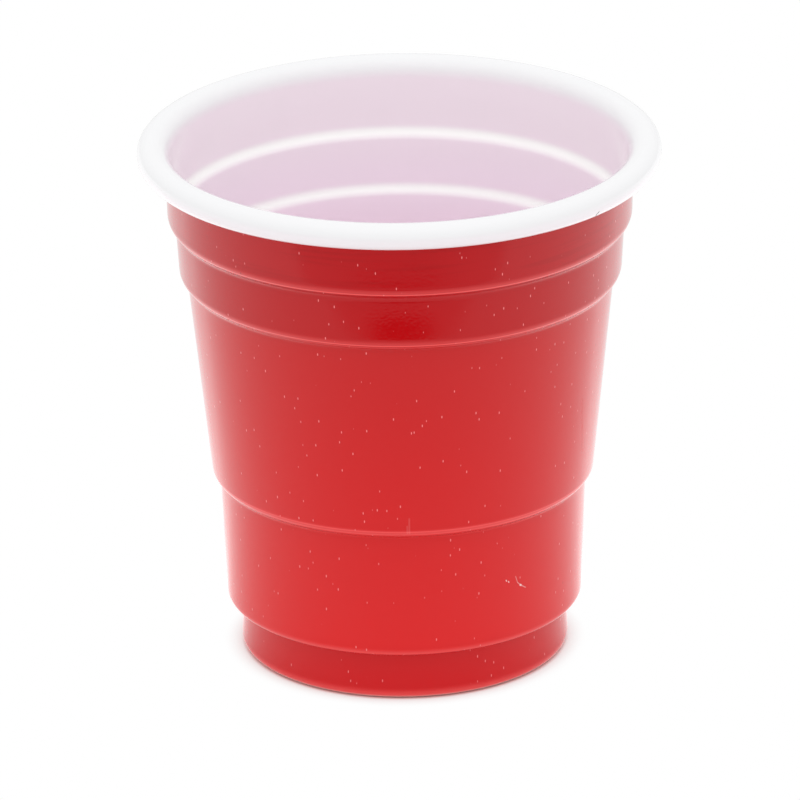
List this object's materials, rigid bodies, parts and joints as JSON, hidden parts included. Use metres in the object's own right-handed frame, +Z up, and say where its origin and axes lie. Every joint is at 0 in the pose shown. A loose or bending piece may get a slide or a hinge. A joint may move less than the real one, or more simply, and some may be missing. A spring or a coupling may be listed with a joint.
{
  "type": "plastic shot cup",
  "caption": "Small round stackable plastic cup with a tapered stepped wall, rolled rim and flat standing ring.",
  "frame": {"origin": "centre of the standing ring, on the surface the cup rests on", "axes": "+Z up the cup's axis of revolution, through the mouth"},
  "size_m": [0.0508, 0.0508, 0.0523],
  "materials": {
    "plastic": "satin red outside, white inside and over the rolled rim"
  },
  "bodies": {
    "root": {"cup": "plastic"}
  },
  "joints": []
}
